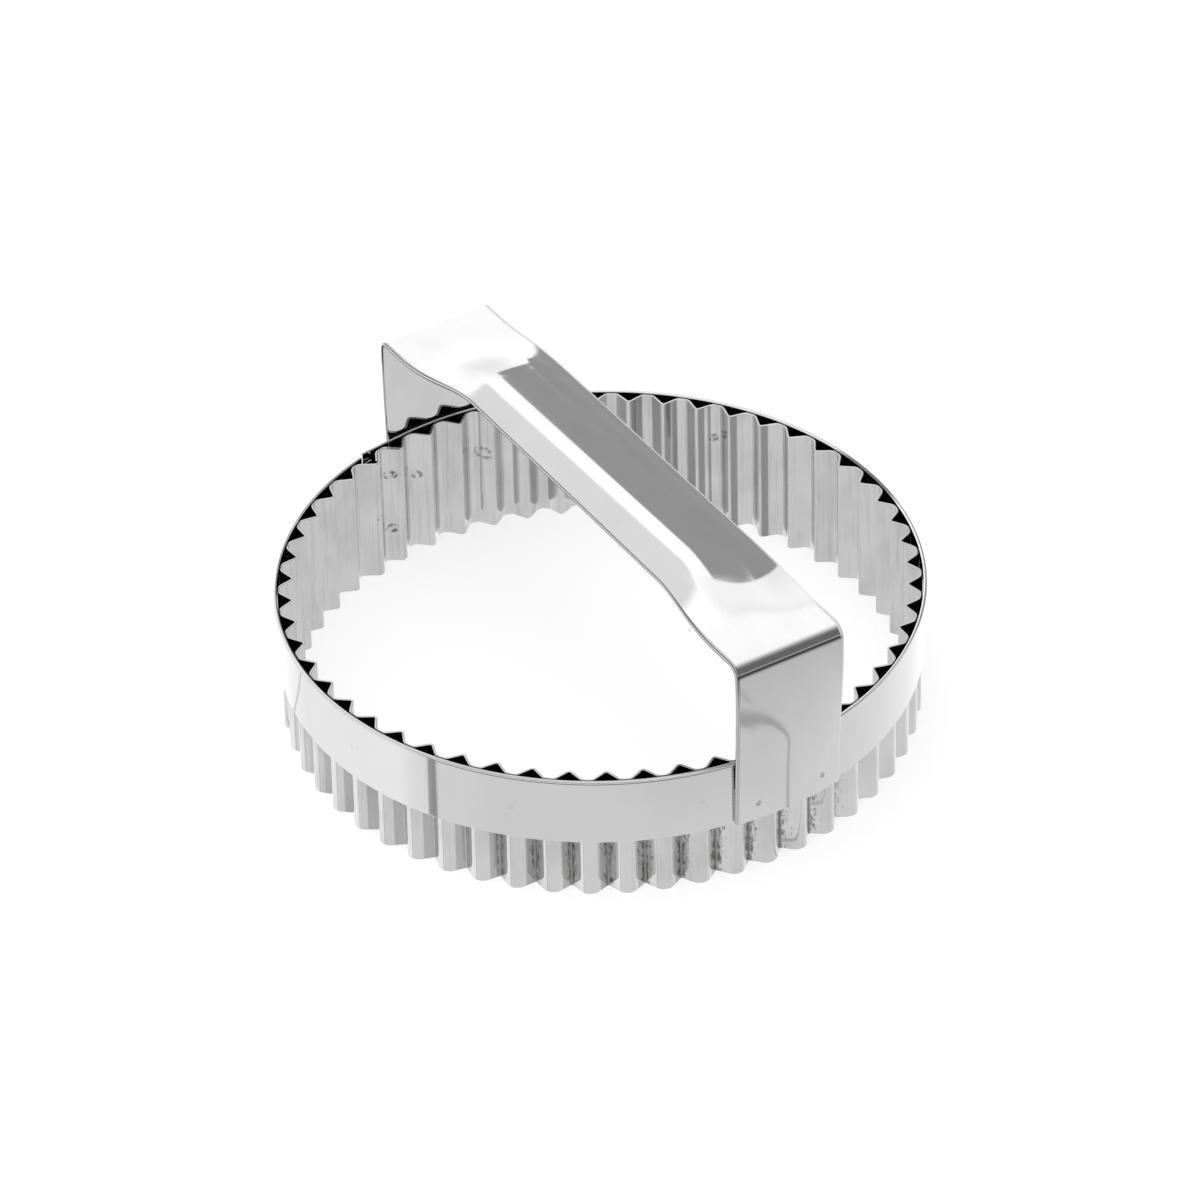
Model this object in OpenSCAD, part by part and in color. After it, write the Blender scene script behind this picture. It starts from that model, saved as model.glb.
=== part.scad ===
// Round fluted pastry cutter: a corrugated ring, a band with a folded rim, and a strap handle.
// The ring stands on its cutting edge at z = 0, centred on the origin, and the handle runs along x.

/* [Fluted ring] */
// Diameter over the crests of the flutes
ring_d = 120; // [80:1:160]
// Height of the cutter's wall, from the cutting edge to the top of the rim
ring_h = 26.5; // [20:0.5:40]
// Depth of the ring's top edge below the rim
rim_step = 0.25; // [0:0.05:1]
// Thickness of the ring's sheet
ring_t = 0.4; // [0.3:0.05:0.5]
// Distance from crest to crest, round the ring
flute_pitch = 7; // [6:0.1:9]
// Depth of a flute, from crest to valley
flute_depth = 2.45; // [1.6:0.05:3]
// Outside radius of a crest
crest_r = 2.2; // [1.9:0.05:2.4]
// Outside radius of the sharp bend in a valley
valley_r = 0.35; // [0.2:0.05:0.4]
// Distance from the strap's edge to the middle of the lapped flute
seam_gap = 3; // [2:0.1:8]

/* [Outer band] */
// Height of the band
band_h = 14.2; // [12:0.1:18]
// Thickness of the band's sheet
band_t = 0.3; // [0.2:0.05:0.6]
// Space inside the folded rim, measured across
fold_gap = 0.1; // [0.1:0.05:0.5]
// Height of the fold
rim_h = 1.1; // [1:0.1:2]
// Length of the band's straight free end that lies behind the strap
free_tuck = 2.9; // [1:0.1:4]
// Distance from the tip of the free end to the start of the fold
tip_gap = 1; // [0.5:0.1:2]
// Length of the tongue that is tucked under the free end
tongue = 2.6; // [1.5:0.1:3.5]

/* [Handle] */
// Width of the strap
strap_w = 23.2; // [18:0.2:26]
// Thickness of the strap
strap_t = 0.9; // [0.6:0.05:1.2]
// Sideways place of the strap, off the middle of the ring
strap_shift = 2; // [-3:0.1:3]
// Height of the strap's ends above the rim
handle_rise = 22.25; // [18:0.25:32]
// Height of the strap's lower edges above the band's
leg_step = 0.25; // [0:0.05:2]
// Outside radius of the front bend
front_bend_r = 3; // [2:0.1:4]
// Outside radius of the rear bend
rear_bend_r = 1.8; // [1.4:0.1:4]
// Further rise of the grip, in the middle of the strap
grip_rise = 6.2; // [3:0.1:8]
// Distance from the outside of a leg to the start of its ramp
ramp_in = 7.1; // [5:0.1:10]
// Length of each ramp that leads up to the grip
ramp_len = 21.7; // [14:0.1:24]
// Width of the grip's flat top
grip_flat = 7.4; // [4:0.2:9]
// Radius of the grip's two long shoulders
shoulder_r = 5.5; // [4:0.5:8]
// Slope of the grip's two flanks, in degrees
flank_slope = 35.5; // [15:0.5:40]
// Sideways drift of the flat top, from the middle to the front end of the grip
grip_drift = 0.45; // [0:0.05:1]
// Fall of the flat top, from the middle to the front end of the grip
grip_fall = 0.5; // [0:0.05:1]

/* [Spot welds] */
// Diameter of a weld
weld_d = 1.6; // [1.2:0.1:2.4]
// Distance between the two welds of a leg
leg_weld_gap = 14.2; // [10:0.2:16]
// Height of the leg welds above the band's lower edge
leg_weld_up = 3.6; // [2:0.1:6]
// Depth of the band welds below the rim
band_weld_down = 7.5; // [5:0.5:10]
// Height of the lower weld in the ring's seam
seam_weld_low = 7.2; // [4:0.2:9]
// Depth of the upper weld in the ring's seam, below the rim
seam_weld_down = 7; // [4:0.2:10]

/* [Hidden] */
$fn = 96;

// Clearance between two sheets that lie on each other
sheet_gap = 0.1;
// How far a weld reaches into the sheets that it joins
bite = 0.2;
// Smallest bend of a flank, in radians, so that a flat strap has a finite shoulder radius
tiny_turn = 0.001;

// Ring: half the angle of a flute, and the two circles that its outline is made of
ring_r = ring_d / 2;
flutes = round(PI * ring_d / flute_pitch);
half_flute = 180 / flutes;
// The crest's radius is held below this share of half a pitch, so that a flank always fits beside it
crest_limit_share = 0.8;
crest_fit_r = min(crest_r, crest_limit_share * flute_pitch / 2 - valley_r);
crest_c = ring_r - crest_fit_r;
valley_c = ring_r - flute_depth + valley_r;
across = [valley_c * cos(half_flute) - crest_c, valley_c * sin(half_flute)];
flank_a = atan2(across[1], across[0]) - acos((crest_fit_r + valley_r) / norm(across));
crest_steps = 3;
valley_steps = 2;
// Number of points at each end of the strip that are left out, so that it ends just before a valley
end_skip = valley_steps;
lap_step = ring_t + sheet_gap;

// Band: its two faces, its lower edge and the directions where it starts and ends
band_in_r = ring_r + sheet_gap;
band_out_r = band_in_r + band_t;
rim_w = band_t * 2 + fold_gap;
rim_out_r = band_in_r + rim_w;
band_low = ring_h - band_h;
rim_low = ring_h - rim_h;
fold_steps = 4;
band_steps = 118;
free_steps = 2;
// Tongue: its height, its root inside the band, and how far its faces lie inside the band's faces
tongue_share = 0.86;
tongue_root = 0.8;
tongue_inset = 0.05;
tongue_steps = 3;

// Handle: the leg lies on the band at its foot, stands off under the rim and is flat at the bend
foot_r = band_out_r + sheet_gap;
under_rim_r = rim_out_r + sheet_gap;
leg_low = band_low + leg_step;
foot_top = leg_low + leg_weld_up + weld_d;
// The flat part of a leg stands this far inside the foremost point of its curved part
leg_lean = 0.3;
leg_flat_x = under_rim_r + strap_t - leg_lean;
end_top = ring_h + handle_rise;
ramp_x = leg_flat_x - ramp_in;
grip_x = ramp_x - ramp_len;
flat_v = grip_flat / 2;
shoulder_len = shoulder_r * flank_slope * PI / 180;
strap_half = strap_w / 2;

// Lap of the ring and lap of the band: both lie beside the rear leg, on the side of -y
strap_edge_a = 180 + asin((strap_half - strap_shift) / foot_r);
seam_angle = strap_edge_a + turn_of(seam_gap);
free_root = strap_edge_a - turn_of(free_tuck);
free_tip = seam_angle + half_flute;
// The free end leaves the circle along its tangent and so stands off it at the tip
free_len = band_in_r * tan(free_tip - free_root);
fold_start = free_tip + turn_of(tip_gap);

// Stations across the strap, as shares of its shoulders and its flanks
shoulder_shares = [0.25, 0.5, 0.75, 1];
flank_shares = [0.5, 1];

// Stations along the strap, as shares of each stretch
foot_shares = [0, 0.5, 1];
stand_off_shares = [0.25, 0.5, 0.75, 1];
leg_shares = [0.1, 0.3, 0.5, 0.7, 0.85, 1];
bend_steps = 6;
ramp_steps = 12;
top_steps = 8;

// Weld places: turns from the ring's seam, as shares of a full turn
band_weld_shares = [0.04, 0.15, 0.24, 0.335, 0.43, 0.52, 0.61, 0.7, 0.815, 0.91];
weld_z = leg_low + leg_weld_up;
// Place of the seam welds, as a share of the way from the crest to its flank
seam_weld_share = 0.85;

// Smooth step from 0 to 1
function ease(t) = let (c = max(0, min(1, t))) c * c * (3 - 2 * c);
function mix(a, b, t) = a + (b - a) * t;
function polar(r, a) = [r * cos(a), r * sin(a)];
// Turn, in degrees, of a length on the band's inner face
function turn_of(len) = len / band_in_r * 180 / PI;

// One half flute, from its valley to its crest: each entry is a point on the outside face and the
// direction in which that face looks, both measured from the crest's own direction
half_flute_points = concat(
    [for (i = [0 : valley_steps])
        let (a = mix(half_flute, flank_a, i / valley_steps))
        [polar(valley_c, half_flute) - polar(valley_r, a), a]],
    [for (i = [0 : crest_steps])
        let (a = mix(flank_a, 0, i / crest_steps))
        [[crest_c, 0] + polar(crest_fit_r, a), a]]
);
half_count = len(half_flute_points);
// A whole flute in the direction of growing angle, without its last valley point
flute_points = concat(
    [for (p = half_flute_points) [[p[0][0], -p[0][1]], -p[1]]],
    [for (i = [half_count - 2 : -1 : 1]) half_flute_points[i]]
);
flute_count = len(flute_points);

// Point k of the strip, counted along all flutes, on a sheet that is moved inwards by depth
function strip_point(k, depth) =
    let (
        flute = floor(k / flute_count),
        p = flute_points[k - flute * flute_count],
        turn = seam_angle + 2 * half_flute * flute,
        q = p[0] - polar(depth, p[1])
    )
    [q[0] * cos(turn) - q[1] * sin(turn), q[0] * sin(turn) + q[1] * cos(turn)];

// The strip starts under its own end, so its first flute lies one sheet further in
function strip_depth(k) = lap_step * (1 - ease((k - flute_count) / flute_count));

module fluted_ring() {
    first = end_skip;
    last = (flutes + 1) * flute_count - end_skip;
    outer_face = [for (k = [first : last]) strip_point(k, strip_depth(k))];
    inner_face = [for (k = [last : -1 : first]) strip_point(k, strip_depth(k) + ring_t)];
    color("gainsboro")
        linear_extrude(ring_h - rim_step)
            polygon(concat(outer_face, inner_face));
}

// A bent sheet between two grids of points: front and back hold the same number of rows and columns
module sheet(front, back) {
    rows = len(front);
    cols = len(front[0]);
    size = rows * cols;
    points = [for (row = concat(front, back)) for (p = row) p];
    // The two triangles between four corners
    function pair(a, b, c, d) = [[a, c, b], [a, d, c]];
    faces = [
        for (i = [0 : rows - 2]) for (j = [0 : cols - 2])
            let (k = i * cols + j)
            for (f = concat(
                pair(k, k + 1, k + cols + 1, k + cols),
                pair(size + k, size + k + cols, size + k + cols + 1, size + k + 1)))
                f,
        for (i = [0 : rows - 2])
            let (k = i * cols, m = k + cols - 1)
            for (f = concat(
                pair(k, k + cols, size + k + cols, size + k),
                pair(m, size + m, size + m + cols, m + cols)))
                f,
        for (j = [0 : cols - 2])
            let (m = (rows - 1) * cols + j)
            for (f = concat(
                pair(j, size + j, size + j + 1, j + 1),
                pair(m, m + 1, size + m + 1, size + m)))
                f
    ];
    polyhedron(points, faces);
}

// Section of the band as two paths of [distance outwards, height]: the face that starts on the
// inside of the ring and runs over the fold, and the face that lies against itself in the fold
fold_z = ring_h - rim_w / 2;
band_front = concat(
    [[0, band_low]],
    [for (i = [0 : fold_steps]) [rim_w / 2, fold_z] + polar(rim_w / 2, 180 - 180 * i / fold_steps)],
    [[rim_w, rim_low]]
);
band_back = concat(
    [[band_t, band_low]],
    [for (i = [0 : fold_steps]) [rim_w / 2, fold_z] + polar(fold_gap / 2, 180 - 180 * i / fold_steps)],
    [[rim_w - band_t, rim_low]]
);

// One row of the band: its section in direction a, moved by len along the tangent
function band_row(section, a, len) = [for (p = section)
    let (q = polar(band_in_r + p[0], a) + polar(len, a + 90))
    [q[0], q[1], p[1]]];
function band_rows(section) = concat(
    [for (i = [0 : band_steps])
        band_row(section, mix(fold_start, 360 + free_root, i / band_steps), 0)],
    [for (i = [1 : free_steps]) band_row(section, free_root, free_len * i / free_steps)]
);

module outer_band() {
    tongue_in_r = band_in_r + tongue_inset;
    tongue_out_r = band_out_r - tongue_inset;
    tongue_angles = [for (i = [0 : tongue_steps])
        mix(fold_start - turn_of(tongue), fold_start + turn_of(tongue_root), i / tongue_steps)];
    color("lightgray") {
        sheet(band_rows(band_front), band_rows(band_back));
        // The tongue, which has no fold and goes on under the free end
        translate([0, 0, band_low + tongue_inset])
            linear_extrude(band_h * tongue_share)
                polygon(concat(
                    [for (a = tongue_angles) polar(tongue_out_r, a)],
                    [for (i = [tongue_steps : -1 : 0]) polar(tongue_in_r, tongue_angles[i])]));
    }
}

// Stations across the strap, as distances from the middle line of the grip's flat top. The middle
// line lies beside the middle of the strap by off, so one flank is wider than the other.
function side_stations(room) = concat(
    [flat_v / 2, flat_v],
    [for (s = shoulder_shares) flat_v + s * shoulder_len],
    [for (s = flank_shares) flat_v + shoulder_len + s * (room - flat_v - shoulder_len)]
);
function reversed(list) = [for (i = [len(list) - 1 : -1 : 0]) list[i]];
function stations(off) = concat(-reversed(side_stations(strap_half + off)), [0],
                                side_stations(strap_half - off));

// Outside face of a leg at height z, across position v: curved with the band below, flat above
function leg_radius(z) =
    strap_t + mix(foot_r, under_rim_r, ease((z - foot_top) / (rim_low - foot_top)));
function leg_x(z, v, bend_z) = mix(
    sqrt(pow(leg_radius(z), 2) - pow(v + strap_shift, 2)),
    leg_flat_x,
    ease((z - ring_h) / (bend_z - ring_h))
);

// Section of the grip at distance v from its middle line, for flanks that slope by angle a: its
// sideways place and its drop below the flat top. The shoulder is an arc of the same length for all a.
function shoulder_arc(v) = min(max(abs(v) - flat_v, 0), shoulder_len);
function flank_part(v) = max(abs(v) - flat_v - shoulder_len, 0);
function arc_r(a) = shoulder_len / max(a * PI / 180, tiny_turn);
function arc_turn(v, a) = shoulder_arc(v) / arc_r(a) * 180 / PI;
function grip_side(v, a) =
    sign(v) * (min(abs(v), flat_v) + arc_r(a) * sin(arc_turn(v, a)) + flank_part(v) * cos(a));
function grip_drop(v, a) = arc_r(a) * (1 - cos(arc_turn(v, a))) + flank_part(v) * sin(a);

// Rows of points on the strap's outside face. side is 1 for the front leg and -1 for the rear leg.
function leg_row(z, side, bend_z) = [for (v = stations(0))
    [side * leg_x(z, v, bend_z), v + strap_shift, z]];
function bend_row(a, side, bend) = [for (v = stations(0))
    [side * (leg_flat_x - bend + bend * cos(a)), v + strap_shift, end_top - bend + bend * sin(a)]];
function end_rows(side, bend) =
    let (bend_z = end_top - bend)
    concat(
        [for (s = foot_shares) leg_row(mix(leg_low, foot_top, s), side, bend_z)],
        [for (s = stand_off_shares) leg_row(mix(foot_top, rim_low, s), side, bend_z)],
        [leg_row(ring_h, side, bend_z)],
        [for (s = leg_shares) leg_row(mix(ring_h, bend_z, s), side, bend_z)],
        [for (i = [1 : bend_steps]) bend_row(90 * i / bend_steps, side, bend)]
    );
function grip_row(x) =
    let (
        up = ease((ramp_x - abs(x)) / ramp_len),
        a = flank_slope * up,
        off = grip_drift * x / grip_x * up,
        top = end_top + (grip_rise - grip_fall * x / grip_x) * up
    )
    [for (v = stations(off)) [x, strap_shift + off + grip_side(v, a), top - grip_drop(v, a)]];
ramp_places = [for (i = [0 : ramp_steps]) mix(ramp_x, grip_x, i / ramp_steps)];
top_places = [for (i = [1 : top_steps - 1]) mix(grip_x, -grip_x, i / top_steps)];
strap_rows = concat(
    end_rows(1, front_bend_r),
    [for (x = concat(ramp_places, top_places, -reversed(ramp_places))) grip_row(x)],
    reversed(end_rows(-1, rear_bend_r))
);
row_count = len(strap_rows);
col_count = len(strap_rows[0]);

// The inside face lies one sheet under the outside face, square to it
function face_normal(i, j) =
    let (
        along = strap_rows[min(i + 1, row_count - 1)][j] - strap_rows[max(i - 1, 0)][j],
        side = strap_rows[i][min(j + 1, col_count - 1)] - strap_rows[i][max(j - 1, 0)],
        n = cross(along, side)
    )
    n / norm(n);

module handle_strap() {
    inside_rows = [for (i = [0 : row_count - 1])
        [for (j = [0 : col_count - 1]) strap_rows[i][j] + strap_t * face_normal(i, j)]];
    color("silver")
        sheet(strap_rows, inside_rows);
}

// A weld that lies along the radius in direction a, between the radii low and high
module weld(a, z, low, high) {
    rotate(a)
        translate([low, 0, z])
            rotate([0, 90, 0])
                cylinder(h = high - low, d = weld_d);
}

// The welds of the ring's lap stand square on the side of the lapped crest
module ring_seam_welds() {
    color("darkgray")
        rotate(seam_angle)
            translate([crest_c, 0])
                for (z = [seam_weld_low, ring_h - seam_weld_down])
                    weld(-flank_a * seam_weld_share, z, crest_fit_r - lap_step - bite,
                         crest_fit_r - ring_t + bite);
}

module band_ring_welds() {
    color("darkgray")
        for (s = band_weld_shares)
            weld(seam_angle + 2 * half_flute * round(s * flutes), ring_h - band_weld_down,
                 ring_r - bite, band_in_r + bite);
}

// The welds of one leg lie square to the band, at their places across the strap
module leg_welds(side) {
    for (v = [-leg_weld_gap / 2, leg_weld_gap / 2])
        let (y = v + strap_shift, a = asin(y / foot_r))
        weld(side > 0 ? a : 180 - a, weld_z, band_out_r - bite, foot_r + bite);
}

module front_leg_welds() {
    color("darkgray") leg_welds(1);
}

module rear_leg_welds() {
    color("darkgray") leg_welds(-1);
}

fluted_ring();
outer_band();
handle_strap();
ring_seam_welds();
band_ring_welds();
front_leg_welds();
rear_leg_welds();
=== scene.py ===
"""Looks of the round pastry cutter, built around its packed frame: the fluted ring, the banded rim,
the strap handle and the marks of the spot welds. All lengths are in metres."""
import math
from functools import reduce

import bpy
import numpy as np
from bpy.props import FloatProperty, FloatVectorProperty, IntProperty, PointerProperty
from mathutils import Matrix, Vector


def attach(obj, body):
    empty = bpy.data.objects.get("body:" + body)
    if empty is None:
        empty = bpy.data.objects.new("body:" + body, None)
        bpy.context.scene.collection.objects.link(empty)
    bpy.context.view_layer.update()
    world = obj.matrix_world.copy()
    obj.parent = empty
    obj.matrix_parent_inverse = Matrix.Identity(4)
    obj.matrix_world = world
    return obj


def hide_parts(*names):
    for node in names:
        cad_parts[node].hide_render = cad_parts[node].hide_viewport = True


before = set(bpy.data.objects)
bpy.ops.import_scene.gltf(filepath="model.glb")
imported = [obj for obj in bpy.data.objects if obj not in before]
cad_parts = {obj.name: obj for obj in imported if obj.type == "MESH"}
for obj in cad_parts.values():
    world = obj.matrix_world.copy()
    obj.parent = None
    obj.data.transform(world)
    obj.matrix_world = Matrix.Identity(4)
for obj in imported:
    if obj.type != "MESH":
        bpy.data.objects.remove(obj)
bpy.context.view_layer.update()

bl_info = {
    "name": "Round Pastry Cutter",
    "version": (1, 0, 0),
    "blender": (4, 5, 0),
    "location": "View3D > Sidebar > Cutter",
    "description": "Makes a fluted steel pastry cutter with a strap handle around its frame",
    "category": "Add Mesh",
}

BODY = "root"
# Weld marks on the ring's inside: direction in degrees, height, radius and strength.
INNER_MARKS = ((190.9, 0.0203, 0.0007, 0.9), (190.9, 0.0077, 0.0007, 0.9), (184.3, 0.0168, 0.0007, 0.7),
               (170.2, 0.0168, 0.0011, 0.6), (126.0, 0.0187, 0.0005, 0.8), (195.1, 0.0130, 0.0007, 0.3))
# Weld dents that show on the band: directions in degrees, and their height.
BAND_MARKS, BAND_MARK_UP = (-81.4, -48.1, -14.7), 0.019
# Greys of the marks that aren't grime. Most of them are painted light and shade: the shade on the inside
# flanks, the shade where the ring meets the band, the shadow under the fold, the dark reflection on the far
# rim, the dark lines on the strap's left edge, the pale rubbed front ramp painted as a highlight, the shade
# at the far end of the grip and the shadow in the gap between a leg and the rim.
GREYS = {"streak": 0.20, "flank": 0.33, "cut_edge": 0.45, "join_shade": 0.03, "fold_shadow": 0.10,
         "fold_top": 0.49, "far_rim_reflection": 0.06, "dent": 0.20, "edge_shade_line": 0.05, "rubbed": 0.98,
         "far_shade": 0.30, "gap": 0.02}
# Directions in degrees from +x towards +y, with the strength of the screen that stands there.
SCREENS = ((-180, 1.15), (-164, 1.04), (-140, 1.06), (-110, 1.08), (-103, 0.96), (-98, 0.92),
           (-92, 0.85), (-68, 0.80), (44, 0.80), (68, 0.86), (84, 0.93), (112, 1.09), (132, 1.25),
           (164, 1.30), (180, 1.15))
# Directions of the narrow grey gap in the screens.
SCREEN_GAP = (-97.1, -93.8)
# Length of one degree of the ring's wall, for distances from a weld mark.
DEGREE = 0.00103
# Space between the two sheets of the ring's lap.
LAP_GAP = 0.0001


def length(name, description, default, **more):
    """Property for a length in metres."""
    return FloatProperty(name=name, description=description, default=default, precision=5,
                         unit="LENGTH", **more)


def number(name, description, default):
    """Property for a plain number."""
    return FloatProperty(name=name, description=description, default=default)


def angle(name, description, degrees):
    """Property for an angle, its default in degrees."""
    return FloatProperty(name=name, description=description, default=math.radians(degrees),
                         unit="ROTATION")


def tone(name, description, default):
    """Property for a colour."""
    return FloatVectorProperty(name=name, description=description, default=default, size=3,
                               subtype="COLOR", min=0.0, max=1.0)


class RingSizes(bpy.types.PropertyGroup):
    """Sizes of the fluted ring."""

    radius: length("Radius", "Radius over the crests of the flutes", 0.060)
    height: length("Height", "From the cutting edge to the top edge", 0.02625)
    sheet: length("Sheet", "Thickness of the sheet", 0.0004)
    flutes: IntProperty(name="Flutes", description="Number of flutes round the ring", default=54)
    depth: length("Depth", "From crest to valley", 0.00245)
    crest: length("Crest", "Outside radius of a crest", 0.0022)
    valley: length("Valley", "Outside radius of the bend in a valley", 0.00035)
    seam: angle("Seam", "Direction of the lapped flute", 191.990)
    edge: length("Edge", "Rounding of the sheet's cut edges", 0.00008)


class BandSizes(bpy.types.PropertyGroup):
    """Sizes of the band with its folded rim."""

    radius: length("Radius", "Inner radius of the band", 0.0601)
    low: length("Lower edge", "Height of the lower edge", 0.0123)
    high: length("Upper edge", "Height of the top of the fold", 0.0265)
    sheet: length("Sheet", "Thickness of the sheet", 0.0003)
    gap: length("Fold gap", "Space inside the fold", 0.0001)
    fold: length("Fold height", "Height of the fold", 0.0007)
    start: angle("Start", "Direction where the fold starts", 196.277)
    end: angle("End", "Direction where the free end leaves the circle", 186.365)
    free: length("Free end", "Length of the straight free end", 0.009474)
    tongue: length("Tongue", "Length of the tongue under the free end", 0.0026)
    edge: length("Edge", "Rounding of the sheet's cut edges", 0.0001)
    tongue_sheet: length("Tongue sheet", "Thickness of the tongue", 0.0002)
    tongue_top: length("Tongue top", "Height of the tongue's top above the lower edge", 0.0122)
    tuck: length("Tuck", "How far the tongue reaches into the band", 0.0008)
    flat: number("Flattening", "Height of the fold's top as a share of a half circle", 0.6)


class StrapSizes(bpy.types.PropertyGroup):
    """Sizes of the strap handle."""

    width: length("Width", "Width of the strap", 0.0232)
    sheet: length("Sheet", "Thickness of the strap, whose long edges are fully rounded", 0.0009)
    shift: length("Shift", "Sideways place of the strap, off the middle of the ring", 0.002)
    foot: length("Foot radius", "Radius that the feet lie on", 0.0605)
    lean: length("Lean", "How far a leg would lean out if it were straight", 0.000954)
    bow: length("Bow", "How far a leg bows back in", 0.000854)
    low: length("Lower end", "Height of the lower ends of the legs", 0.01255)
    foot_top: length("Foot", "Height up to which a leg stays round", 0.01775)
    leg: length("Leg", "Distance of the flat part of a leg from the middle", 0.0615)
    top: length("Ends", "Height of the ends of the handle", 0.04875)
    front_bend: length("Front bend", "Outside radius of the front bend", 0.003)
    rear_bend: length("Rear bend", "Outside radius of the rear bend", 0.0018)
    rise: length("Grip rise", "Rise of the grip above the ends", 0.0062)
    ramp: length("Ramp start", "Where the ramps start, from the middle", 0.0544)
    grip: length("Grip start", "Where the ramps reach the grip, from the middle", 0.0327)
    crown: length("Rear grip start", "Where the rear ramp reaches the grip", 0.0300)
    flat: length("Grip flat", "Half the width of the flat top", 0.0037)
    shoulder: length("Shoulder", "Length of the arc of a shoulder", 0.0034077)
    slope: angle("Flank slope", "Slope of the grip's flanks", 35.5)
    tilt: angle("Tilt", "Lean of the grip's flat top to the right", 6.5)
    drift: length("Drift", "Sideways drift of the flat top to the front", 0.00045)
    fall: length("Fall", "Fall of the flat top to the front", 0.0005)
    mark_up: length("Mark height", "Height of the weld marks above the legs' lower ends", 0.0036)
    mark_aside: length("Mark place", "Distance of a weld mark from the leg's middle line", 0.0071)
    mark: length("Mark radius", "Radius of a weld mark", 0.0006)
    mark_lift: length("Mark lift", "How far a mark's lip stands proud", 0.00006)


class SteelLooks(bpy.types.PropertyGroup):
    """Colours of the steel and of its marks."""

    ring: tone("Ring", "Steel of the fluted ring", (0.74, 0.74, 0.74))
    band: tone("Band", "Steel of the band", (0.74, 0.74, 0.745))
    strap: tone("Strap", "Steel of the strap", (0.76, 0.76, 0.765))
    mark: tone("Weld marks", "Steel that the spot welds have marked", (0.60, 0.60, 0.59))
    # This colour paints the grime and the painted shade in the outside valleys of the flutes, and the weld
    # marks inside the ring.
    grime_and_shade: tone("Grime", "Dull marks in the valleys of the flutes", (0.16, 0.155, 0.15))


class StageLooks(bpy.types.PropertyGroup):
    """Camera, floor and light of the studio."""

    azimuth: angle("Azimuth", "Direction of the camera round the cutter", 58.3)
    elevation: angle("Elevation", "Height of the camera above the horizon", 37.064)
    roll: angle("Roll", "Turn of the camera about its own axis", -1.318)
    distance: length("Distance", "Distance of the camera", 1.58797)
    side: length("Side", "Sideways place of the camera", -0.000464)
    lift: length("Lift", "Upward place of the camera", 0.017387)
    lens: number("Lens", "Focal length in mm", 253.70)
    glow: number("Glow", "Light of the floor's own", 0.72)
    panel: number("Panels", "Strength of the light panels", 1.38)
    back: number("Back", "Strength of the grey card behind", 0.37)
    left: number("Left", "Strength of the pale card on the left", 0.92)
    room: number("Room", "Strength of the dark room in front", 0.17)
    inside: number("Inside", "Light from the floor inside the ring", 0.76)
    floor: tone("Floor", "Colour of the floor", (0.4, 0.4, 0.4))


def ease(t):
    """Smooth step of t, which is held between 0 and 1."""
    t = np.clip(t, 0.0, 1.0)
    return t * t * (3.0 - 2.0 * t)


def mix(a, b, t):
    """Straight blend from a to b."""
    return a + (b - a) * t


def unit(v):
    """Vectors divided by their own lengths."""
    return v / np.linalg.norm(v, axis=-1, keepdims=True)


def spread(*stops):
    """Joined even divisions: each stop is (value, steps from the one before), the first has no steps."""
    parts = [np.array([stops[0][0]])]
    for (a, _), (b, steps) in zip(stops[:-1], stops[1:]):
        parts.append(np.linspace(a, b, steps + 1)[1:])
    return np.concatenate(parts)


def sheet_loops(middle, normal, first, last, thick, edge, steps=4):
    """Closed section of a sheet in each row: the middle face moved out by half the thickness, a
    quarter circle of radius edge over each corner, and the middle face moved in by half of it.
    first and last are the directions out of the sheet at its two long edges."""
    turn = np.linspace(0.0, math.pi / 2, steps + 1)
    out = edge * np.sin(turn)
    rise = thick / 2 - edge + edge * np.cos(turn)
    out = np.concatenate([out, out[::-1]])[1:-1, None]
    rise = np.concatenate([rise, -rise[::-1]])[1:-1, None]
    last_edge = middle[:, -1:] + last[:, None] * out + normal[:, -1:] * rise
    first_edge = middle[:, :1] + first[:, None] * out - normal[:, :1] * rise
    half = normal * thick / 2
    return np.concatenate([middle + half, last_edge, (middle - half)[:, ::-1], first_edge], axis=1)


def put(name, data):
    """A new object with the data, in the scene."""
    made = bpy.data.objects.new(name, data)
    bpy.context.scene.collection.objects.link(made)
    return made


def smooth_mesh(name, points, faces, degrees):
    """A mesh that is shaded smooth where two faces meet at less than the angle."""
    mesh = bpy.data.meshes.new(name)
    mesh.from_pydata(points.tolist(), [], faces)
    mesh.validate()
    mesh.shade_smooth()
    mesh.set_sharp_from_angle(angle=math.radians(degrees))
    return mesh


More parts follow.
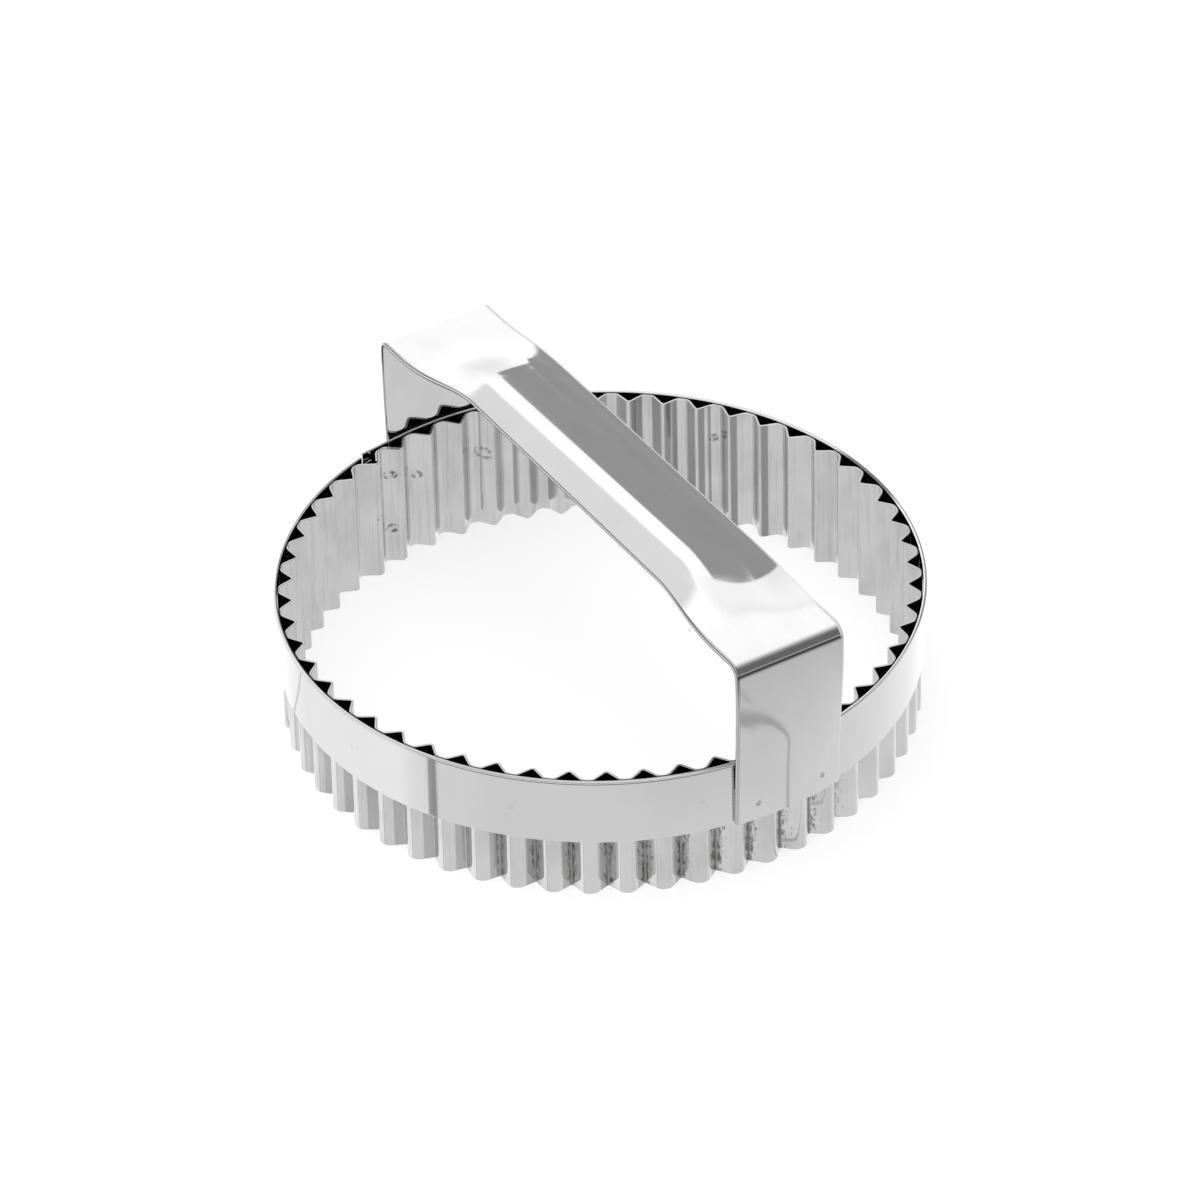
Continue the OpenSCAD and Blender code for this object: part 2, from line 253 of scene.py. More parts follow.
def skin(name, loops, columns):
    """A closed mesh over the loops: a quad between each two neighbours of two rows, and each end
    closed by quads between the sheet's two faces and one face over each rounded edge. The map
    holds the length along the rows and the length round the section, and the attribute cut grows
    from 0 on the first face over a rounded edge to 1 on the other face."""
    rows, count = loops.shape[:2]
    points = loops.reshape(-1, 3)
    i, j = np.meshgrid(np.arange(rows - 1), np.arange(count), indexing="ij")
    k = (j + 1) % count
    quads = np.stack([i * count + j, i * count + k, (i + 1) * count + k, (i + 1) * count + j], -1)
    quads = quads.reshape(-1, 4)
    volume = np.einsum("ij,ij->i", points[quads[:, 0]],
                       np.cross(points[quads[:, 1]], points[quads[:, 2]])
                       + np.cross(points[quads[:, 2]], points[quads[:, 3]])).sum()
    edge = (count - 2 * columns) // 2
    j = np.arange(columns - 1)
    back = 2 * columns + edge - 1 - j
    strip = np.stack([j, back, back - 1, j + 1], -1)
    rims = [np.arange(columns - 1, columns + edge + 1)[::-1],
            np.r_[np.arange(2 * columns + edge - 1, count), 0][::-1]]
    start = [list(f) for f in strip] + [list(f) for f in rims]
    end = [[v + (rows - 1) * count for v in f[::-1]] for f in start]
    faces = quads.tolist() + start + end
    if volume < 0:
        faces = [f[::-1] for f in faces]
    mesh = smooth_mesh(name, points, faces, 40.0)
    along = np.linalg.norm(np.diff(loops.mean(axis=1), axis=0), axis=-1)
    along = np.concatenate([[0.0], np.cumsum(along)])
    across = np.linalg.norm(np.roll(loops[0], -1, axis=0) - loops[0], axis=-1)
    across = np.concatenate([[0.0], np.cumsum(across)])
    corner = np.zeros(len(mesh.loops), np.int64)
    mesh.loops.foreach_get("vertex_index", corner)
    u, v = along[corner // count], across[corner % count]
    wrap = np.zeros(len(corner), bool)
    quad_corners = 4 * len(quads)
    ring = (corner[:quad_corners] % count).reshape(-1, 4)
    wrap[:quad_corners] = ((ring == 0) & (ring.max(axis=1, keepdims=True) == count - 1)).ravel()
    v = np.where(wrap, across[-1], v)
    layer = mesh.uv_layers.new(name="sheet")
    layer.data.foreach_set("uv", np.stack([u, v], -1).ravel().astype(np.float32))
    round_edge = np.arange(1, edge + 1) / (edge + 1)
    cut = np.concatenate([np.zeros(columns), round_edge, np.ones(columns), round_edge[::-1]])
    mesh.attributes.new("cut", "FLOAT", "POINT").data.foreach_set("value", np.tile(cut, rows))
    return put(name, mesh)


def flute_path(size, lap):
    """Outside line of the fluted strip, with the direction in which it looks. A flute is a crest
    arc, a straight flank that touches both arcs and a valley arc, mirrored about the crest. The
    strip starts one lap further in and comes out to its full radius along the second flute."""
    crest_at = size.radius - size.crest
    valley_at = size.radius - size.depth + size.valley
    half = math.pi / size.flutes
    across = np.array([valley_at * math.cos(half) - crest_at, valley_at * math.sin(half)])
    reach = math.hypot(*across)
    flank = math.atan2(across[1], across[0]) - math.acos((size.crest + size.valley) / reach)
    crest_steps, valley_steps = 9, 7
    a = np.concatenate([np.linspace(0.0, flank, crest_steps), np.linspace(flank, half, valley_steps)])
    on_crest = np.arange(len(a)) < crest_steps
    polar = np.stack([np.cos(a), np.sin(a)], -1)
    crest = np.array([crest_at, 0.0]) + size.crest * polar
    middle = valley_at * np.array([math.cos(half), math.sin(half)])
    line = np.where(on_crest[:, None], crest, middle - size.valley * polar)
    line = np.concatenate([line[:0:-1] * [1.0, -1.0], line[:-1]])
    look = np.concatenate([-a[:0:-1], a[:-1]])
    count = len(look)
    flute = np.repeat(np.arange(size.flutes + 1), count)
    turn = size.seam + 2 * half * flute
    k = np.arange(len(flute))
    inward = lap * (1.0 - ease((k - count) / count))
    look = np.tile(look, size.flutes + 1)
    line = np.tile(line, (size.flutes + 1, 1)) - inward[:, None] * np.stack(
        [np.cos(look), np.sin(look)], -1)
    cos, sin = np.cos(turn), np.sin(turn)
    x = line[:, 0] * cos - line[:, 1] * sin
    y = line[:, 0] * sin + line[:, 1] * cos
    look = look + turn
    inner = slice(4, -4)  # the strip's two ends stop short of the middle of a valley
    return np.stack([x, y], -1)[inner], np.stack([np.cos(look), np.sin(look)], -1)[inner]


def make_ring(size):
    """The fluted line moved in by half a sheet, carried straight up from the cutting edge."""
    path, look = flute_path(size, size.sheet + LAP_GAP)
    e = size.edge
    z = spread((e, 0), (2 * e, 1), (size.height - 2 * e, 6), (size.height - e, 1))
    rows, cols = len(path), len(z)
    middle = np.empty((rows, cols, 3))
    middle[..., :2] = (path - look * size.sheet / 2)[:, None]
    middle[..., 2] = z
    normal = np.zeros((rows, cols, 3))
    normal[..., :2] = look[:, None]
    up = np.tile([0.0, 0.0, 1.0], (rows, 1))
    loops = sheet_loops(middle, normal, -up, up, size.sheet, e)
    return skin("fluted_ring_sheet", loops, cols)


def carried(section, look, radius, direction, along):
    """A section of (distance outwards, height) points, with the directions in which its face
    looks, set at each direction round the ring and moved on along the tangent there."""
    rows = len(direction)
    out = np.stack([np.cos(direction), np.sin(direction), np.zeros(rows)], -1)[:, None]
    tangent = np.stack([-np.sin(direction), np.cos(direction), np.zeros(rows)], -1)[:, None]
    up = np.array([0.0, 0.0, 1.0])
    middle = out * (radius + section[:, :1]) + up * section[:, 1:] + tangent * along[:, None, None]
    return middle, out * look[:, :1] + up * look[:, 1:]


def make_band(size):
    """The band's middle line in section is a straight wall, a flattened half circle over the rim and
    the short leg of the fold. It is carried round the circle and on along the tangent of the free
    end. The tongue is a lower and thinner wall that starts under the free end."""
    e, t = size.edge, size.sheet
    wide = 2 * t + size.gap
    bend = (wide - t) / 2
    fold_z = size.high - bend * size.flat - t / 2
    wall = spread((size.low + e, 0), (size.low + 2 * e, 1), (fold_z, 8))
    turn = np.linspace(math.pi, 0.0, 13)[1:]
    leg = spread((fold_z, 0), (size.high - size.fold + 2 * e, 2), (size.high - size.fold + e, 1))[1:]
    section = np.concatenate([
        np.stack([np.full(len(wall), t / 2), wall], -1),
        np.stack([wide / 2 + bend * np.cos(turn), fold_z + bend * size.flat * np.sin(turn)], -1),
        np.stack([np.full(len(leg), wide - t / 2), leg], -1)])
    look_a = np.concatenate([np.full(len(wall), math.pi), turn, np.zeros(len(leg))])
    look = unit(np.stack([np.cos(look_a) * size.flat, np.sin(look_a)], -1))
    steps = 360
    direction = np.concatenate([np.linspace(size.start, size.end + 2 * math.pi, steps + 1),
                                np.full(8, size.end)])
    along = np.concatenate([np.zeros(steps + 1), np.linspace(0.0, size.free, 9)[1:]])
    middle, normal = carried(section, look, size.radius, direction, along)
    down = np.tile([0.0, 0.0, -1.0], (len(direction), 1))
    loops = sheet_loops(middle, normal, down, down, t, e)
    band = skin("outer_band_sheet", loops, len(section))

    wall = spread((size.low + 1.5 * e, 0), (size.low + size.tongue_top, 6))
    section = np.stack([np.full(len(wall), t / 2), wall], -1)
    look = np.tile([1.0, 0.0], (len(wall), 1))
    direction = np.linspace(size.start - size.tongue / size.radius,
                            size.start + size.tuck / size.radius, 9)
    middle, normal = carried(section, look, size.radius, direction, np.zeros(9))
    down = down[:9]
    loops = sheet_loops(middle, normal, down, -down, size.tongue_sheet, e)
    tongue = skin("outer_band_tongue", loops, len(section))
    return band, tongue


def leg_radius(size, share):
    """Distance of a leg's outside face from the cutter's axis at a share of the leg's height."""
    return size.sheet + size.foot + size.lean * share - size.bow * share ** 2


def strap_face(size, share):
    """Outside face of the strap, row by row, at the shares from -1 to 1 across it. A leg is curved
    round the ring's middle at its foot and flat at the bend, and its distance from the middle is a
    parabola over its height. A bend is a quarter circle, and the grip is a flat top, two arcs and
    two straight flanks whose slope and height rise along a ramp."""
    half = size.width / 2 - size.sheet / 2
    w = share[None, :]

    def end(side, bend):
        bend_z = size.top - bend
        z = spread((size.low, 0), (size.foot_top, 10), (bend_z, 46))[:, None]
        v = w * half
        share = (z - size.low) / (bend_z - size.low)
        middle = leg_radius(size, share)
        round_x = np.sqrt(middle ** 2 - (v + size.shift) ** 2)
        x = mix(round_x, middle, ease((z - size.foot_top) / (bend_z - size.foot_top)))
        leg = np.stack([side * x, v + size.shift + 0 * x, z + 0 * x], -1)
        a = np.linspace(0.0, math.pi / 2, 17)[1:, None]
        x = side * (size.leg - bend + bend * np.cos(a)) + 0 * w
        z = size.top - bend + bend * np.sin(a) + 0 * w
        return np.concatenate([leg, np.stack([x, v + size.shift + 0 * x, z], -1)])

    x = spread((size.ramp + 0.0005, 0), (size.grip, 44), (-size.crown, 60), (-size.ramp - 0.0005, 48))
    x = x[:, None]
    full = np.where(x > 0, size.grip, size.crown)
    up = ease((size.ramp - np.abs(x)) / (size.ramp - full))
    off = size.drift * x / size.grip * up
    top = size.top + (size.rise - size.fall * x / size.grip) * up
    v = w * half - off
    slope = np.maximum(size.slope * up, 1e-4)
    arc = np.clip(np.abs(v) - size.flat, 0.0, size.shoulder)
    flank = np.maximum(np.abs(v) - size.flat - size.shoulder, 0.0)
    r = size.shoulder / slope
    out = np.minimum(np.abs(v), size.flat) + r * np.sin(arc / r) + flank * np.cos(slope)
    drop = r * (1.0 - np.cos(arc / r)) + flank * np.sin(slope)
    lean = math.tan(size.tilt) * up * v * (1.0 - (v / half) ** 2)
    grip = np.stack([x + 0 * v, size.shift + off + np.sign(v) * out, top - drop - lean], -1)
    return np.concatenate([end(1.0, size.front_bend), grip, end(-1.0, size.rear_bend)[::-1]])


def make_strap(size):
    """The strap's outside face moved in by half a sheet, with fully rounded long edges."""
    crowd = 0.8 * math.pi / 2  # brings the columns closer together near the long edges
    share = np.sin(np.linspace(-crowd, crowd, 61)) / math.sin(crowd)
    face = strap_face(size, share)
    rows = np.gradient(face, axis=0)
    cols = np.gradient(face, axis=1)
    normal = unit(np.cross(rows, cols))
    if normal[len(normal) // 2, len(share) // 2, 2] < 0:
        normal = -normal
    middle = face - normal * size.sheet / 2
    loops = sheet_loops(middle, normal, -unit(cols[:, 0]), unit(cols[:, -1]), size.sheet,
                        size.sheet * 0.499, steps=6)
    return skin("handle_strap_sheet", loops, len(share))


def make_marks(name, centre, look, radius, lift):
    """Spot weld marks: a round disc with a raised lip and a hollow in its middle. Its height over
    the sheet is lift times the lip's bell curve less a shallow bell in the middle, and it is closed
    by a flat face inside the sheet."""
    centre, look = np.asarray(centre, float), unit(np.asarray(look, float))
    r = np.array([0.0, 0.25, 0.45, 0.6, 0.7, 0.8, 0.9, 1.0, 1.0])
    height = np.exp(-((r - 0.75) / 0.16) ** 2) - 0.35 * np.exp(-(r / 0.35) ** 2) + 0.35
    height[-2:] = [0.0, -2.0]
    turns = 24
    a = np.arange(turns) * 2 * math.pi / turns
    side = unit(np.cross(look, [0.0, 0.0, 1.0]))
    up = np.cross(side, look)
    spokes = side[:, None] * np.cos(a)[:, None] + up[:, None] * np.sin(a)[:, None]
    ring = (centre[:, None, None] + radius * r[None, 1:, None, None] * spokes[:, None]
            + lift * height[None, 1:, None, None] * look[:, None, None])
    marks, rings = len(centre), len(r) - 1
    tip = centre + look * lift * height[0]
    each = rings * turns + 1
    points = np.concatenate([ring.reshape(marks, -1, 3), tip[:, None]], axis=1).reshape(-1, 3)
    m, i, j = np.meshgrid(np.arange(marks), np.arange(rings - 1), np.arange(turns), indexing="ij")
    k = (j + 1) % turns
    low = m * each + i * turns
    quads = np.stack([low + j, low + turns + j, low + turns + k, low + k], -1).reshape(-1, 4)
    m, j = np.meshgrid(np.arange(marks), np.arange(turns), indexing="ij")
    fan = np.stack([m * each + each - 1, m * each + j, m * each + (j + 1) % turns], -1)
    under = [list(range(n * each + (rings - 1) * turns, n * each + rings * turns))[::-1]
             for n in range(marks)]
    faces = quads.tolist() + fan.reshape(-1, 3).tolist() + under
    return put(name, smooth_mesh(name, points, faces, 60.0))


def node(tree, kind, inputs=(), **settings):
    """A node with its settings and inputs. An input is a value or the output that feeds it."""
    made = tree.nodes.new(kind)
    for key, value in settings.items():
        setattr(made, key, value)
    for key, value in dict(inputs).items():
        if isinstance(value, bpy.types.NodeSocket):
            tree.links.new(value, made.inputs[key])
        else:
            made.inputs[key].default_value = value
    return made


def calc(tree, operation, a, b=0.0, c=0.0):
    """Output of a Math node."""
    return node(tree, "ShaderNodeMath", {0: a, 1: b, 2: c}, operation=operation).outputs[0]


def product(tree, *values):
    """Output of the product of the values."""
    return reduce(lambda a, b: calc(tree, "MULTIPLY", a, b), values)


def largest(tree, *values):
    """Output of the largest of the values."""
    return reduce(lambda a, b: calc(tree, "MAXIMUM", a, b), values)


def apart(tree, value, place):
    """Output of how far a value is from a place, either way."""
    return calc(tree, "ABSOLUTE", calc(tree, "SUBTRACT", value, place))


def long_side(tree, a, b):
    """Output of the root of the sum of two squares."""
    return calc(tree, "SQRT", calc(tree, "ADD", product(tree, a, a), product(tree, b, b)))


def dot(tree, a, b):
    """Output of a dot product with a fixed vector."""
    return node(tree, "ShaderNodeVectorMath", {0: a, 1: tuple(b)},
                operation="DOT_PRODUCT").outputs["Value"]


def parts(tree, vector):
    """Outputs of the three parts of a vector."""
    return tuple(node(tree, "ShaderNodeSeparateXYZ", {0: vector}).outputs)


def ramp(tree, value, low, high, start=0.0, end=1.0, kind="SMOOTHSTEP"):
    """Output of a Map Range node."""
    return node(tree, "ShaderNodeMapRange",
                {"Value": value, "From Min": low, "From Max": high, "To Min": start, "To Max": end},
                interpolation_type=kind).outputs["Result"]


def blend(tree, share, a, b, kind="FLOAT"):
    """Output of a Mix node between two numbers or two colours."""
    first = 2 if kind == "FLOAT" else 6
    made = node(tree, "ShaderNodeMix", {0: share, first: a, first + 1: b}, data_type=kind)
    return made.outputs[0 if kind == "FLOAT" else 2]


def noise(tree, coords, scale, stretch, detail=3.0, roughness=0.55):
    """Output of a Noise node, from 0 to 1, with the coordinates stretched first."""
    place = node(tree, "ShaderNodeMapping", {"Vector": coords, "Scale": stretch})
    return node(tree, "ShaderNodeTexNoise",
                {"Vector": place.outputs[0], "Scale": scale, "Detail": detail,
                 "Roughness": roughness}).outputs["Fac"]


def steel(name, colour, rough, grain, grime_and_shade=None, smudge=0.05, matte=None):
    """Bright rolled steel sheet. The fine grain runs along the sheet's own map, broad smudges
    change the colour and the roughness. The matte parts are where it is scuffed. The function given for the
    grime adds the marks, the grime and the painted light and shade to the colour."""
    made = bpy.data.materials.new(name)
    made.use_nodes = True
    tree = made.node_tree
    shader = tree.nodes["Principled BSDF"]
    shader.inputs["Metallic"].default_value = 1.0
    spots = node(tree, "ShaderNodeTexCoord")
    lines = noise(tree, spots.outputs["UV" if grain else "Object"], 900.0, (1.0, 1.0 / 60, 1.0), 2.0)
    clouds = noise(tree, spots.outputs["Object"], 140.0, (1.0, 1.0, 0.6), 4.0)
    dull = (*(c * (1.0 - 3 * smudge) for c in colour), 1.0)
    base = blend(tree, ramp(tree, clouds, 0.35, 0.75), (*colour, 1.0), dull, "RGBA")
    if grime_and_shade:
        base = grime_and_shade(tree, spots, base)
    tree.links.new(base, shader.inputs["Base Color"])
    uneven = calc(tree, "MULTIPLY_ADD", lines, 0.4, product(tree, clouds, 0.6))
    uneven = ramp(tree, uneven, 0.3, 0.7, rough * 0.75, rough * 1.35, "LINEAR")
    if matte:
        share = matte(tree, spots)
        uneven = blend(tree, ramp(tree, share, 0.2, 0.8), uneven, 0.55)
        bare = ramp(tree, share, 0.0, 0.4, 1.0, 0.25, "LINEAR")
        tree.links.new(bare, shader.inputs["Metallic"])
    tree.links.new(uneven, shader.inputs["Roughness"])
    bump = node(tree, "ShaderNodeBump",
                {"Strength": 0.35, "Distance": 0.00001 * max(grain, 0.1), "Height": lines})
    tree.links.new(bump.outputs[0], shader.inputs["Normal"])
    return made


def place_of(tree, spots):
    """Outputs for the distance from the cutter's axis, the direction in degrees and the height."""
    x, y, z = parts(tree, spots.outputs["Object"])
    return long_side(tree, x, y), product(tree, calc(tree, "ARCTAN2", y, x), 180 / math.pi), z


def cut_of(tree):
    """Output for the place over the sheet's rounded edge, from 0 on one face to 1 on the other."""
    return node(tree, "ShaderNodeAttribute", attribute_name="cut").outputs["Fac"]


def band_of(tree, value, low, high, soft):
    """Output that is 1 between low and high and falls to 0 over the length soft outside them."""
    return product(tree, ramp(tree, value, low - soft, low), ramp(tree, value, high, high + soft, 1.0, 0.0))


def marked(tree, share, base, mark):
    """The base colour where the share is 0 and the mark's where it is 1. The mark is a colour or
    the name of a grey."""
    colour = (GREYS[mark],) * 3 if isinstance(mark, str) else mark
    return blend(tree, share, base, (*colour, 1.0), "RGBA")


def distance(tree, turn, z, degrees, height):
    """Distance on the wall from a point at the given direction and height."""
    aside = product(tree, apart(tree, turn, degrees), DEGREE)
    aside = calc(tree, "MINIMUM", aside, calc(tree, "SUBTRACT", 360 * DEGREE, aside))
    return long_side(tree, aside, calc(tree, "SUBTRACT", z, height))


def valley_grime_and_shade(tree, phase, turn, fine):
    """Share of grime and painted shade on the outside. A valley lies at phase 0.5. Painted shade
    dulls its left and right flank, runs as a dark line down the left one and darkens its bend. Drops
    of grime spread from the bend over the fine noise, further to the right than to the left, and are thickest
    at the front."""
    front = band_of(tree, turn, -46.0, 8.0, 14.0)
    early = product(tree, ramp(tree, turn, -104.0, -84.0), ramp(tree, turn, -50.0, -40.0, 1.0, 0.0))
    left = product(tree, band_of(tree, phase, 0.30, 0.47, 0.03),
                   ramp(tree, turn, -110.0, -84.0, 0.0, 0.40))
    right = product(tree, band_of(tree, phase, 0.52, 0.68, 0.03), early, 0.22)
    patchy = blend(tree, ramp(tree, turn, -60.0, -50.0), 0.30, ramp(tree, fine, 0.38, 0.52, 0.15, 0.75))
    line = product(tree, band_of(tree, phase, 0.43, 0.47, 0.015),
                   ramp(tree, turn, -118.0, -90.0), patchy)
    bend = product(tree, band_of(tree, phase, 0.475, 0.525, 0.012),
                   ramp(tree, turn, -62.0, -46.0, 0.32, 0.72))
    off = calc(tree, "SUBTRACT", phase, 0.475)
    off = largest(tree, product(tree, off, 0.80), product(tree, off, -1.6))
    drops = product(tree, ramp(tree, calc(tree, "SUBTRACT", fine, off), 0.40, 0.48), front, 0.78)
    return largest(tree, left, right, line, drops, bend)


def shaded_flanks(tree, phase, turn):
    """Share of painted shade on the inside: one flank of each flute behind and the other flank at the
    far left, with a narrow part of it in between."""
    wide = product(tree, band_of(tree, phase, 0.62, 0.84, 0.05), band_of(tree, turn, 60.0, 140.0, 8.0))
    narrow = product(tree, band_of(tree, phase, 0.34, 0.45, 0.04), band_of(tree, turn, 114.0, 140.0, 5.0))
    left = product(tree, band_of(tree, phase, 0.20, 0.36, 0.04), ramp(tree, turn, 150.0, 160.0, 0.0, 0.5))
    return largest(tree, product(tree, wide, 0.75), narrow, left)


def ring_wear_and_shade(colour, size):
    """Marks and painted shade on the fluted ring: fine upright streaks, grime and painted shade in the
    outside valleys, painted shade on the inside flanks, broken rings round the welds on the inside, a
    darker cut edge that is fainter at the back and a line of painted shade where the ring meets the band. The
    phase runs from 0 on a crest to 1 on the next."""
    def add(tree, spots, base):
        radius, turn, z = place_of(tree, spots)
        cut, spot = cut_of(tree), spots.outputs["Object"]
        past_seam = calc(tree, "SUBTRACT", turn, math.degrees(size.seam))
        phase = calc(tree, "FRACT", product(tree, past_seam, size.flutes / 360))
        outside, inside = ramp(tree, cut, 0.2, 0.4, 1.0, 0.0), ramp(tree, cut, 0.6, 0.8)
        fine = noise(tree, spot, 1500.0, (1.0, 1.0, 0.45), 4.0, 0.75)
        streaks = noise(tree, spot, 1400.0, (1.0, 1.0, 0.03), 3.0, 0.7)
        fewer = calc(tree, "MULTIPLY_ADD", outside, -0.6, 1.0)
        streaks = product(tree, ramp(tree, streaks, 0.50, 0.68, 0.0, 0.20), fewer)
        base = marked(tree, streaks, base, "streak")
        # Grime and painted shade in the outside valleys.
        base = marked(tree, product(tree, valley_grime_and_shade(tree, phase, turn, fine), outside), base, colour)
        # Painted shade on the inside flanks.
        base = marked(tree, product(tree, shaded_flanks(tree, phase, turn), inside), base, "flank")
        broken = ramp(tree, noise(tree, spot, 1100.0, (1.0, 1.0, 1.0), 3.0), 0.44, 0.54)
        for degrees, height, wide, strength in INNER_MARKS:
            off = apart(tree, distance(tree, turn, z, degrees, height), wide)
            mark = ramp(tree, off, 0.0002, 0.0005, strength, 0.0)
            base = marked(tree, product(tree, mark, broken, inside), base, colour)
        edge = product(tree, band_of(tree, cut, 0.1, 0.9, 0.1), ramp(tree, turn, 60.0, 120.0, 0.9, 0.5))
        base = marked(tree, edge, base, "cut_edge")
        # Painted shade where the crests meet the band.
        top = product(tree, ramp(tree, z, size.height - 0.0003, size.height - 0.0001),
                      ramp(tree, radius, size.radius - 0.0003, size.radius - 0.00015))
        return marked(tree, top, base, "join_shade")
    return add


def band_wear_and_shade(size):
    """Marks and painted light on the band: a painted shadow under the fold's cut edge, which is plainest
    at the front, a fold whose top is darker across the front, a painted dark reflection on the far rim and
    faint dents of the spot welds."""
    def add(tree, spots, base):
        radius, turn, z = place_of(tree, spots)
        low, face = size.high - size.fold, size.radius + 2 * size.sheet
        # Painted shadow under the fold's cut edge.
        under = product(tree, band_of(tree, z, low - 0.00005, low + 0.00020, 0.00006),
                        ramp(tree, radius, face, face + 0.00005),
                        ramp(tree, turn, -65.0, -60.0, 0.25, 0.9), ramp(tree, turn, -12.0, 3.0, 1.0, 0.0),
                        ramp(tree, turn, -100.0, -92.0))
        base = marked(tree, under, base, "fold_shadow")
        # The fold's top is darker across the front.
        dull = product(tree, ramp(tree, z, size.high - 0.00032, size.high - 0.00018),
                       ramp(tree, turn, -68.0, -58.0, 0.7, 1.0), ramp(tree, turn, -10.0, 15.0, 1.0, 0.25),
                       ramp(tree, turn, -125.0, -112.0))
        base = marked(tree, dull, base, "fold_top")
        # Painted dark reflection along the top of the far rim.
        far = product(tree, band_of(tree, turn, 84.0, 95.0, 6.0),
                      ramp(tree, z, size.high - 0.0003, size.high - 0.0002), 0.8)
        base = marked(tree, far, base, "far_rim_reflection")
        for degrees in BAND_MARKS:
            off = distance(tree, turn, z, degrees, BAND_MARK_UP)
            base = marked(tree, ramp(tree, off, 0.0003, 0.0007, 0.12, 0.0), base, "dent")
        return base
    return add


def edge_place(tree, spots, size):
    """Outputs for the place round the strap's rounded edge, counted from where it turns away from
    the light in front, for the strap's left half, and for the place counted from the outside face.
    The grip's flanks slope, so on the grip the edge turns away earlier than at the ends."""
    x, y, _ = parts(tree, spots.outputs["Object"])
    cut = cut_of(tree)
    away = ramp(tree, calc(tree, "ABSOLUTE", x), size.grip, size.ramp, 0.496, 0.693)
    return calc(tree, "SUBTRACT", cut, away), ramp(tree, y, 0.0, 0.0001, 1.0, 0.0), cut


def front_ramp(tree, spots, size):
    """Share of the rubbed part of the front ramp, which is also painted pale as a highlight. Its upper
    border is a parabola about y = 5.8 mm, and its lower border is soft and lies lower on the right."""
    x, y, z = parts(tree, spots.outputs["Object"])
    bow = calc(tree, "SUBTRACT", y, 0.0058)
    down = calc(tree, "MULTIPLY_ADD", product(tree, bow, bow), 57.0, x)
    low = calc(tree, "SUBTRACT", x, ramp(tree, y, 0.000, 0.009, 0.0, 0.004))
    return product(tree, ramp(tree, down, 0.0434, 0.0444), ramp(tree, low, 0.0450, 0.0520, 1.0, 0.0),
                   ramp(tree, y, -0.006, -0.001), ramp(tree, z, size.top - 0.003, size.top - 0.001))


def strap_wear_and_shade(size):
    """Painted dark reflections along the borders of the strap's rounded left edge, fainter on the legs, a
    rubbed front ramp painted pale as a highlight, a soft painted shade at the far end of the grip and a
    painted shadow in the gap between a leg and the rim."""
    def add(tree, spots, base):
        radius, _, z = place_of(tree, spots)
        off, left, cut = edge_place(tree, spots, size)
        x, y, _ = parts(tree, spots.outputs["Object"])
        across = parts(tree, spots.outputs["UV"])[1]
        # Painted dark reflections along the left rounded edge, where it turns away from the light.
        on_edge = largest(tree, band_of(tree, off, -0.28, 0.10, 0.03), band_of(tree, off, -0.60, -0.47, 0.03))
        lines = largest(tree, product(tree, on_edge, ramp(tree, cut, 0.0, 0.02)),
                        product(tree, ramp(tree, across, 0.00012, 0.00022, 0.8, 0.0),
                                ramp(tree, cut, 0.0, 0.02, 1.0, 0.0)))
        lines = product(tree, lines, left, ramp(tree, z, 0.040, 0.046, 0.45, 1.0), 0.95)
        base = marked(tree, lines, base, "edge_shade_line")
        # The rubbed front ramp is painted pale as a highlight.
        base = marked(tree, front_ramp(tree, spots, size), base, "rubbed")
        # Soft painted shade at the far end of the grip.
        aside = product(tree, calc(tree, "ADD", x, 0.0372), 0.8)
        far = long_side(tree, aside, calc(tree, "ADD", y, 0.0015))
        far_shade = product(tree, ramp(tree, far, 0.001, 0.0068, 0.38, 0.0), ramp(tree, z, 0.045, 0.047))
        base = marked(tree, far_shade, base, "far_shade")
        # Painted shadow in the gap between a leg and the rim.
        gap = product(tree, band_of(tree, z, 0.020, 0.0270, 0.0002),
                      ramp(tree, radius, 0.0611, 0.0613, 1.0, 0.0), ramp(tree, cut, 0.8, 0.9))
        return marked(tree, gap, base, "gap")
    return add


def strap_scuffs(size):
    """Where the strap is rubbed: a thin line on its left edge, the right border of its outside face
    above the legs, and the front ramp."""
    half, radius = (size.width - size.sheet) / 2, size.sheet + size.foot
    wide = radius * (math.asin((half + size.shift) / radius) + math.asin((half - size.shift) / radius))

    def add(tree, spots):
        off, left, _ = edge_place(tree, spots, size)
        z = parts(tree, spots.outputs["Object"])[2]
        across = parts(tree, spots.outputs["UV"])[1]
        right = product(tree, band_of(tree, across, wide - 0.00030, wide + 0.00050, 0.0001),
                        ramp(tree, z, size.top - 0.003, size.top - 0.001))
        thin = product(tree, band_of(tree, off, -0.44, -0.31, 0.03), left,
                       ramp(tree, z, 0.040, 0.046, 0.2, 0.9))
        return largest(tree, product(tree, front_ramp(tree, spots, size), 0.85), right, thin)
    return add


def wear(piece, material):
    """Gives a piece its one material."""
    piece.data.materials.clear()
    piece.data.materials.append(material)


def finish(piece, material, slot, *nodes):
    """Gives a finished piece its material, hides the frame's parts that it stands for and parents it to the
    body's empty.
    """
    wear(piece, material)
    if nodes:
        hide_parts(*nodes)
    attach(piece, BODY)


class CUTTER_OT_ring(bpy.types.Operator):
    """Makes the fluted ring"""

    bl_idname = "cutter.ring"
    bl_label = "Fluted Ring"

    def execute(self, context):
        size, looks = context.scene.cutter_ring, context.scene.cutter_looks
        material = steel("ring_steel", looks.ring, 0.10, 1.0, grime_and_shade=ring_wear_and_shade(looks.grime_and_shade, size))
        finish(make_ring(size), material, "ring_steel", "fluted_ring")
        return {"FINISHED"}


